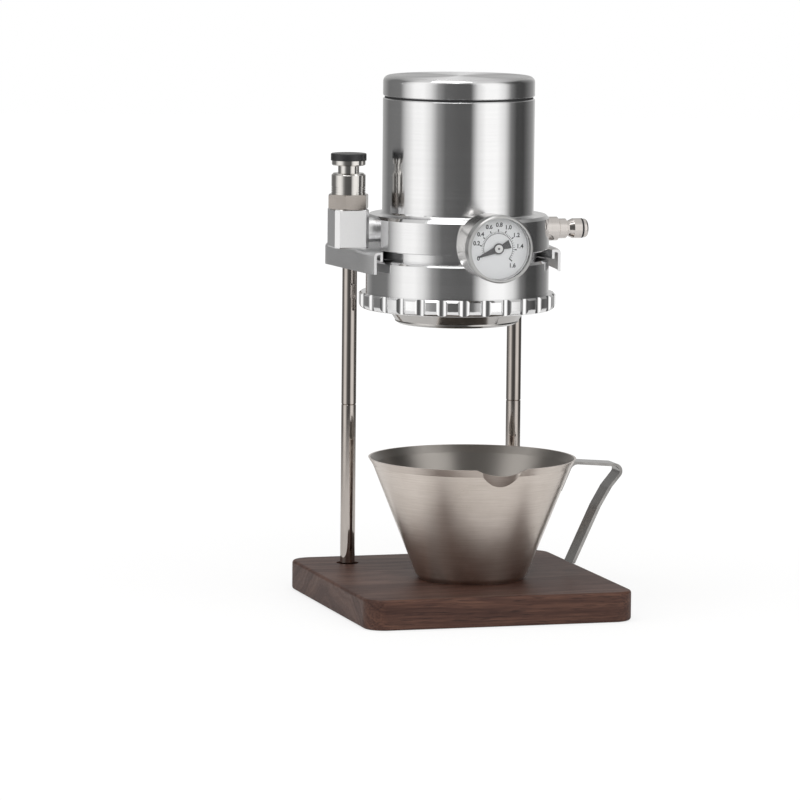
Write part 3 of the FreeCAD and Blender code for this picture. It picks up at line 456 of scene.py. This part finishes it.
# Nodes whose look differs from that of their slot
OWN_LOOK = {
    "gauge_case": gauge_shell("gauge_case_bright"),
    "gauge_bezel": turned_metal("gauge_bezel_satin", (0.47, 0.47, 0.465), 0.30, GAUGE_CENTRE, "Y", lines=0.05,
                                tone=0.05),
    "valve_body": valve_metal("chrome_valve_body", VALVE_HEXAGON_TOP),
    "valve_stem": turned_metal("chrome_valve", (0.66, 0.64, 0.615), 0.08, VALVE_CENTRE, "Z", lines=0.05,
                               tone=0.06, anisotropic=0.0, spread=0.05),
    "top_cap": lid_metal("aluminium_lid"),
    "cup_handle": sheet_metal("cup_steel_strap", (0.34, 0.33, 0.32), 0.20, (1.0, 30.0, 1.0), tone=0.35),
}
for entry in frame["record"]["subparts"]:
    node = nodes[entry["node"]]
    look = OWN_LOOK.get(entry["node"], LOOKS[entry["material_slot"]])
    node.data.materials.clear()
    node.data.materials.append(look)


# Pieces that the solids leave out

def on_dial(r, angle, lift):
    """A point on the dial: r millimetres from its centre, angle in degrees anticlockwise from the right."""
    turn = math.radians(angle)
    x, back, middle = GAUGE_CENTRE
    return Vector((x + r * math.cos(turn), back - DIAL_FRONT - lift, middle + r * math.sin(turn))) * MM


def add_mesh(name, look, body):
    mesh = bpy.data.meshes.new(name)
    piece = bpy.data.objects.new(name, mesh)
    bpy.context.scene.collection.objects.link(piece)
    mesh.materials.append(look)
    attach(piece, body)
    return piece, mesh


def fill_mesh(mesh, shape):
    shape.to_mesh(mesh)
    shape.free()


INK = plastic("dial_ink_print", (0.03, 0.03, 0.035), 0.6, tone=0.1)
PRINT_LIFT = 0.03
# Angles of the long marks, from 0 to 1.6 by 0.2, as the dial in the photograph has them
MARKS = (205, 170, 144, 116, 90, 65, 35, -4, -41)
STEPS = len(MARKS) - 1
# Radii of the printed arc's two edges, and where the marks start and end
ARC_INNER, SCALE_R = 5.83, 6.0
SHORT_END, LONG_START, LONG_END = 6.8, 6.7, 7.6
SHORT_WIDE, LONG_WIDE = 0.16, 0.42


def mark_angle(place):
    """Angle of a place on the scale, in steps between the long marks."""
    low = min(int(place), STEPS - 1)
    return MARKS[low] + (MARKS[low + 1] - MARKS[low]) * (place - low)


def dial_scale():
    """Printed arc and division marks of the dial, as flat quads just above its face."""
    _, mesh = add_mesh("gauge_scale", INK, "brewer")
    shape = bmesh.new()

    def quad(*corners):
        shape.faces.new([shape.verts.new(on_dial(r, angle, PRINT_LIFT)) for r, angle in corners])

    def bar(angle, start, end, wide):
        half = math.degrees(wide / 2 / ((start + end) / 2))
        quad((start, angle - half), (start, angle + half), (end, angle + half), (end, angle - half))

    fifths = 5
    for i in range(STEPS):
        bar(MARKS[i], LONG_START, LONG_END, LONG_WIDE)
        for k in range(fifths):
            bar(mark_angle(i + k / fifths), SCALE_R, SHORT_END, SHORT_WIDE)
    bar(MARKS[-1], SCALE_R, LONG_END, LONG_WIDE)
    arc_parts = 90
    for i in range(arc_parts):
        a, b = (mark_angle((i + k) * STEPS / arc_parts) for k in (0, 1))
        quad((ARC_INNER, a), (ARC_INNER, b), (SCALE_R, b), (SCALE_R, a))
    fill_mesh(mesh, shape)


# Radius and angle of each number's middle, as the photograph has them
NUMBER_PLACES = ((8.9, 205), (9.1, 166), (9.2, 142), (9.3, 114), (9.3, 88), (9.2, 64), (9.0, 35), (8.9, 5),
                 (8.9, -49))
NUMBER_SIZE = 2.3
NUMBER_BOLDER = 0.07


def dial_numbers():
    """Plain numbers from 0 to 1.6, without a unit."""
    for i, (r, angle) in enumerate(NUMBER_PLACES):
        text = bpy.data.curves.new("gauge_number_%d" % i, "FONT")
        text.body = "%.1f" % (0.2 * i) if i else "0"
        text.align_x, text.align_y = "CENTER", "CENTER"
        text.size = NUMBER_SIZE * MM
        text.resolution_u = 3
        text.offset = NUMBER_BOLDER * MM
        piece = bpy.data.objects.new("gauge_number_%d" % i, text)
        bpy.context.scene.collection.objects.link(piece)
        place = on_dial(r, angle, PRINT_LIFT)
        piece.matrix_world = Matrix.Translation(place) @ Matrix.Rotation(math.radians(90), 4, "X")
        text.materials.append(INK)
        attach(piece, "brewer")


def hub_ring():
    """Dark rim round the hub disc, lying on the needle."""
    _, mesh = add_mesh("gauge_hub_ring", LOOKS["needle_black"], "needle")
    shape = bmesh.new()
    inner, outer = 1.62, 2.15
    low, high = 0.71, 0.95
    section = ((inner, high), (outer, high), (outer, low), (inner, low))
    parts = 48
    rows = []
    for r, lift in section:
        rows.append([shape.verts.new(on_dial(r, 360 * i / parts, lift)) for i in range(parts)])
    for row, after in zip(rows, rows[1:] + rows[:1]):
        for i in range(parts):
            j = (i + 1) % parts
            shape.faces.new((row[i], row[j], after[j], after[i]))
    bmesh.ops.recalc_face_normals(shape, faces=shape.faces)
    fill_mesh(mesh, shape)


def relief_spring():
    """The relief valve's coil, as a piece of its own with its own mesh on the brewer, in place of the hidden
    solid.
    """
    piece, mesh = add_mesh("relief_spring", LOOKS["spring_steel"], "brewer")
    coil = bmesh.new()
    coil.from_mesh(nodes["valve_spring"].data)
    fill_mesh(mesh, coil)
    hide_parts("valve_spring")
    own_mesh(piece)


dial_scale()
dial_numbers()
hub_ring()
relief_spring()


# Studio

AIM = Vector((0, -10, 120)) * MM
CAMERA_TURN = math.radians(16.456)
CAMERA_ROLL = math.radians(0.526)
CAMERA_PLACE = (-0.63358, -2.06589, 0.33604)
# Way that the camera's back points, away from the object
CAMERA_BACK = (-0.28133, -0.95245, 0.11701)
CAMERA_LENS = 244.0


def soft_box(name, bearing, elevation, distance, side, strength):
    """Square area light round the object. Bearing 0 is at the camera, positive to its right."""
    turn = math.radians(bearing) - CAMERA_TURN
    lift = math.radians(elevation)
    way = Vector((math.sin(turn) * math.cos(lift), -math.cos(turn) * math.cos(lift), math.sin(lift)))
    light = bpy.data.lights.new(name, "AREA")
    light.energy = strength
    light.shape = "RECTANGLE"
    light.size, light.size_y = side, side
    lamp = bpy.data.objects.new(name, light)
    bpy.context.scene.collection.objects.link(lamp)
    lamp.location = AIM + way * distance
    lamp.rotation_euler = (-way).to_track_quat("-Z", "Y").to_euler()
    return lamp


FLOOR_RADIUS = 3
# The floor lies this far below the board, so that the two never share a plane
FLOOR_DROP = 0.0002
FLOOR_BRIGHTNESS = 1.05
# Distances from the middle between which the floor fades: its shadow for the camera, its image in metal
SHADOW_NEAR, SHADOW_FAR = 0.1, 0.45
MIRROR_NEAR, MIRROR_FAR = 0.3, 0.6


def backdrop():
    """Pale floor, white to the camera apart from the shadow. Metal mirrors only its near part."""
    s = Shader("floor_pale")
    s.set(Base_Color=(0.9, 0.9, 0.9, 1), Roughness=0.8)
    path = s.add("ShaderNodeLightPath").outputs
    white = s.add("ShaderNodeEmission")
    white.inputs["Color"].default_value = (1, 1, 1, 1)
    white.inputs["Strength"].default_value = FLOOR_BRIGHTNESS
    x, y, _ = s.split(s.position)
    reach = s.diagonal(x, y)
    whiteness = s.span(reach, SHADOW_NEAR, SHADOW_FAR, 0.72, 1.0)
    lit = s.mix_shader(s.times(path["Is Camera Ray"], whiteness), s.main, white)
    beyond = s.span(reach, MIRROR_NEAR, MIRROR_FAR, 0.0, 1.0)
    clear = s.add("ShaderNodeBsdfTransparent")
    ends = s.mix_shader(s.times(path["Is Glossy Ray"], beyond), lit, clear)
    s.join(ends.outputs[0], s.output.inputs["Surface"])
    bpy.ops.mesh.primitive_circle_add(vertices=96, radius=FLOOR_RADIUS, fill_type="NGON",
                                      location=(0, 0, -FLOOR_DROP))
    floor = bpy.context.object
    floor.name = "studio_floor"
    floor.data.materials.append(s.material)


# Brightness of the room by bearing in degrees, 0 towards the camera and positive to its right:
# two white banks, a dark gap at the camera and darker corners behind them
ROOM = ((-180, 0.60), (-150, 0.36), (-134, 0.20), (-100, 0.22), (-88, 0.75), (-72, 1.20), (-56, 1.24),
        (-44, 0.95), (-32, 0.36), (-20, 0.15), (0, 0.12), (18, 0.12), (29, 0.95), (42, 1.28), (60, 1.28),
        (74, 0.95), (86, 0.25), (98, 0.08), (116, 0.07), (130, 0.18), (150, 0.36), (164, 0.60), (180, 0.60))
# Share of that room by height, from 0 straight down to 1 straight up, and the level of floor and ceiling
WALL = ((0.0, 0.0), (0.15, 0.0), (0.3, 1.0), (0.78, 1.0), (0.94, 0.0), (1.0, 0.0))
FLOOR_AND_CEILING = ((0.0, 0.5), (0.3, 0.5), (0.7, 0.6), (0.9, 0.8), (1.0, 0.8))


def surroundings():
    """White to the camera, a room with two bright banks to everything else."""
    world = bpy.data.worlds.new("studio_room")
    bpy.context.scene.world = world
    world.use_nodes = True
    w = Nodes(world.node_tree)
    plain = w.tree.nodes["Background"]
    plain.inputs["Color"].default_value = (1, 1, 1, 1)
    plain.inputs["Strength"].default_value = 1.0
    room = w.add("ShaderNodeBackground")
    room.inputs["Color"].default_value = (1, 0.995, 0.985, 1)
    x, y, z = w.split(w.add("ShaderNodeTexCoord").outputs["Generated"])
    turn = w.math("ARCTAN2", x, w.times(y, -1.0))
    bearing = w.math("FRACT", w.plus(w.math("DIVIDE", w.plus(turn, CAMERA_TURN), 2 * math.pi), 0.5))
    around = w.curve(bearing, [(angle / 360 + 0.5, level) for angle, level in ROOM])
    height = w.plus(w.times(z, 0.5), 0.5)
    wall = w.curve(height, WALL)
    rest = w.times(w.curve(height, FLOOR_AND_CEILING), w.minus(1.0, wall))
    w.join(w.plus(w.times(around, wall), rest), room.inputs["Strength"])
    seen = w.mix_shader(w.add("ShaderNodeLightPath").outputs["Is Camera Ray"], room, plain)
    w.join(seen.outputs[0], w.tree.nodes["World Output"].inputs["Surface"])


def camera():
    """Long lens at the photograph's place, fitted to measured outline points."""
    data = bpy.data.cameras.new("camera")
    data.lens = CAMERA_LENS
    data.sensor_width = 36
    data.clip_end = 50
    spot = bpy.data.objects.new("camera", data)
    bpy.context.scene.collection.objects.link(spot)
    facing = Vector(CAMERA_BACK).to_track_quat("Z", "Y").to_matrix().to_4x4()
    roll = Matrix.Rotation(CAMERA_ROLL, 4, "Z")
    spot.matrix_world = Matrix.Translation(Vector(CAMERA_PLACE)) @ facing @ roll
    bpy.context.scene.camera = spot


soft_box("top_bank", bearing=-30, elevation=72, distance=1.3, side=0.8, strength=4)
# The fill lights paint, wood and print, and no metal mirrors it
soft_box("front_fill", bearing=6, elevation=30, distance=1.6, side=0.9, strength=10.5).visible_glossy = False
backdrop()
surroundings()
camera()
bpy.context.scene.view_settings.view_transform = "Standard"
